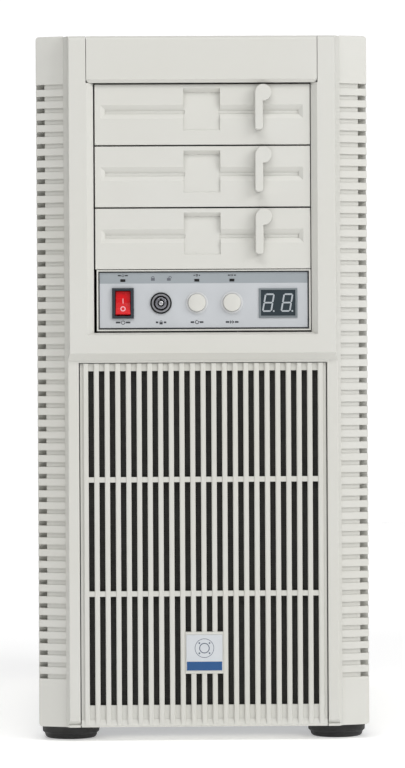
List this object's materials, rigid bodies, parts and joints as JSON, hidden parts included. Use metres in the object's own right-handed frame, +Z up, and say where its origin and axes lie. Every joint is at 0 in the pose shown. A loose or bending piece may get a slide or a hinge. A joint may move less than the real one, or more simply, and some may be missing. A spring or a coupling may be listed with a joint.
{
  "type": "desktop computer tower",
  "caption": "Upright desktop computer case with ribbed front flanks, levered bay faceplates, a switch and lock panel, a slatted intake grille and working fans inside.",
  "frame": {"origin": "on the plane the feet stand on, under the centre of the overall box", "axes": "+Z up, +Y from the front to the rear, +X to the right seen from the front"},
  "size_m": [0.229, 0.4994, 0.4872],
  "materials": {
    "case_plastic": "fine moulded texture",
    "control_face": "satin, two-tone grey",
    "dark_plastic": "satin",
    "red_plastic": "gloss",
    "lock_steel": "satin",
    "lock_chrome": "polished",
    "button_plastic": "satin",
    "display_dark": "smoked window",
    "badge_white": "printed and domed",
    "socket_metal": "nickel plated",
    "filter_mesh": "fine mesh",
    "fan_black": "satin",
    "fan_blades": "satin",
    "chassis_steel": "zinc plated",
    "painted_steel": "powder coat",
    "screw_steel": "knurled",
    "foot_rubber": "matt",
    "circuit_board": "solder mask",
    "connector_black": "satin",
    "shield_steel": "stamped",
    "cooler_aluminium": "bare fins",
    "psu_painted": "black powder coat",
    "drive_aluminium": "cast and machined"
  },
  "bodies": {
    "chassis": {"front_bezel": "case_plastic", "left_flank": "case_plastic", "right_flank": "case_plastic", "port_module": "case_plastic", "control_frame": "case_plastic", "control_plate": "control_face", "power_switch_housing": "dark_plastic", "display_bezel": "dark_plastic", "indicator_lights": "dark_plastic", "psu_inlet": "dark_plastic", "lock_housing": "lock_steel", "display_module": "display_dark", "front_sockets": "socket_metal", "front_fan_frames": "fan_black", "rear_fan_frame": "fan_black", "cpu_fan_frame": "fan_black", "front_plate": "chassis_steel", "drive_cage": "chassis_steel", "base_plate": "chassis_steel", "motherboard_tray": "chassis_steel", "rear_panel": "chassis_steel", "slot_covers": "chassis_steel", "top_cover": "painted_steel", "feet": "foot_rubber", "motherboard": "circuit_board", "control_board": "circuit_board", "memory_modules": "circuit_board", "board_connectors": "connector_black", "graphics_card": "connector_black", "io_shield": "shield_steel", "cpu_cooler": "cooler_aluminium", "psu_case": "psu_painted", "hard_drive": "drive_aluminium"},
    "port_door": {"port_door": "case_plastic"},
    "bay_cover_1": {"bay_cover_1": "case_plastic"},
    "bay_cover_2": {"bay_cover_2": "case_plastic"},
    "bay_cover_3": {"bay_cover_3": "case_plastic"},
    "bay_lever_1": {"bay_lever_1": "case_plastic"},
    "bay_lever_2": {"bay_lever_2": "case_plastic"},
    "bay_lever_3": {"bay_lever_3": "case_plastic"},
    "power_rocker": {"power_rocker": "red_plastic"},
    "lock_cylinder": {"lock_cylinder": "lock_chrome"},
    "reset_button": {"reset_button": "button_plastic"},
    "turbo_button": {"turbo_button": "button_plastic"},
    "front_grille": {"front_grille": "case_plastic", "badge": "badge_white", "dust_filter": "filter_mesh"},
    "right_side_panel": {"right_side_panel": "painted_steel", "right_thumbscrews": "screw_steel"},
    "left_side_panel": {"left_side_panel": "painted_steel", "left_thumbscrews": "screw_steel"},
    "front_fan_rotor_lower": {"front_fan_rotor_lower": "fan_blades"},
    "front_fan_rotor_upper": {"front_fan_rotor_upper": "fan_blades"},
    "rear_fan_rotor": {"rear_fan_rotor": "fan_blades"},
    "cpu_fan_rotor": {"cpu_fan_rotor": "fan_blades"},
    "graphics_fan_rear": {"graphics_fan_rear": "fan_blades"},
    "graphics_fan_front": {"graphics_fan_front": "fan_blades"},
    "psu_fan_rotor": {"psu_fan_rotor": "fan_blades"},
    "psu_switch": {"psu_switch": "dark_plastic"},
    "psu_filter": {"psu_filter": "filter_mesh"}
  },
  "joints": [
    {"name": "port_door_hinge", "type": "hinge", "parent": "chassis", "child": "port_door", "pos_m": [0, -0.21735, 0.4835], "axis": [-1, 0, 0], "range_deg": [0, 90]},
    {"name": "bay_cover_1_pull", "type": "slide", "parent": "chassis", "child": "bay_cover_1", "axis": [0, -1, 0], "range_m": [0, 0.06]},
    {"name": "bay_lever_1_turn", "type": "hinge", "parent": "bay_cover_1", "child": "bay_lever_1", "pos_m": [0.0422, -0.24315, 0.4472], "axis": [0, 1, 0], "range_deg": [0, 90]},
    {"name": "bay_cover_2_pull", "type": "slide", "parent": "chassis", "child": "bay_cover_2", "axis": [0, -1, 0], "range_m": [0, 0.06]},
    {"name": "bay_lever_2_turn", "type": "hinge", "parent": "bay_cover_2", "child": "bay_lever_2", "pos_m": [0.0422, -0.24315, 0.4044], "axis": [0, 1, 0], "range_deg": [0, 90]},
    {"name": "bay_cover_3_pull", "type": "slide", "parent": "chassis", "child": "bay_cover_3", "axis": [0, -1, 0], "range_m": [0, 0.06]},
    {"name": "bay_lever_3_turn", "type": "hinge", "parent": "bay_cover_3", "child": "bay_lever_3", "pos_m": [0.0422, -0.24315, 0.3616], "axis": [0, 1, 0], "range_deg": [0, 90]},
    {"name": "power_rocker_tilt", "type": "hinge", "parent": "chassis", "child": "power_rocker", "pos_m": [-0.0549, -0.23915, 0.3026], "axis": [1, 0, 0], "range_deg": [0, 18]},
    {"name": "lock_turn", "type": "hinge", "parent": "chassis", "child": "lock_cylinder", "pos_m": [-0.0287, -0.24175, 0.3026], "axis": [0, 1, 0], "range_deg": [0, 90]},
    {"name": "reset_button_press", "type": "slide", "parent": "chassis", "child": "reset_button", "axis": [0, 1, 0], "range_m": [0, 0.002], "stiffness_N_per_m": 600, "springref_m": -0.001},
    {"name": "turbo_button_press", "type": "slide", "parent": "chassis", "child": "turbo_button", "axis": [0, 1, 0], "range_m": [0, 0.002], "stiffness_N_per_m": 600, "springref_m": -0.001},
    {"name": "front_grille_pull", "type": "slide", "parent": "chassis", "child": "front_grille", "axis": [0, -1, 0], "range_m": [0, 0.06]},
    {"name": "right_panel_slide", "type": "slide", "parent": "chassis", "child": "right_side_panel", "axis": [0, 1, 0], "range_m": [0, 0.015]},
    {"name": "left_panel_slide", "type": "slide", "parent": "chassis", "child": "left_side_panel", "axis": [0, 1, 0], "range_m": [0, 0.015]},
    {"name": "front_fan_lower_spin", "type": "hinge", "parent": "chassis", "child": "front_fan_rotor_lower", "pos_m": [0, -0.18835, 0.082], "axis": [0, 1, 0], "continuous": true},
    {"name": "front_fan_upper_spin", "type": "hinge", "parent": "chassis", "child": "front_fan_rotor_upper", "pos_m": [0, -0.18835, 0.204], "axis": [0, 1, 0], "continuous": true},
    {"name": "rear_fan_spin", "type": "hinge", "parent": "chassis", "child": "rear_fan_rotor", "pos_m": [-0.032, 0.22965, 0.368], "axis": [0, 1, 0], "continuous": true},
    {"name": "cpu_fan_spin", "type": "hinge", "parent": "chassis", "child": "cpu_fan_rotor", "pos_m": [-0.016, 0.09715, 0.352], "axis": [0, 1, 0], "continuous": true},
    {"name": "graphics_fan_rear_spin", "type": "hinge", "parent": "chassis", "child": "graphics_fan_rear", "pos_m": [0.0144, 0.16065, 0.22392], "axis": [0, 0, 1], "continuous": true},
    {"name": "graphics_fan_front_spin", "type": "hinge", "parent": "chassis", "child": "graphics_fan_front", "pos_m": [0.0144, 0.04265, 0.22392], "axis": [0, 0, 1], "continuous": true},
    {"name": "psu_fan_spin", "type": "hinge", "parent": "chassis", "child": "psu_fan_rotor", "pos_m": [0, 0.16265, 0.0232], "axis": [0, 0, 1], "continuous": true},
    {"name": "psu_switch_tilt", "type": "hinge", "parent": "chassis", "child": "psu_switch", "pos_m": [0.012, 0.24005, 0.0712], "axis": [-1, 0, 0], "range_deg": [0, 18]},
    {"name": "psu_filter_slide", "type": "slide", "parent": "chassis", "child": "psu_filter", "axis": [0, 1, 0], "range_m": [0, 0.12]}
  ]
}
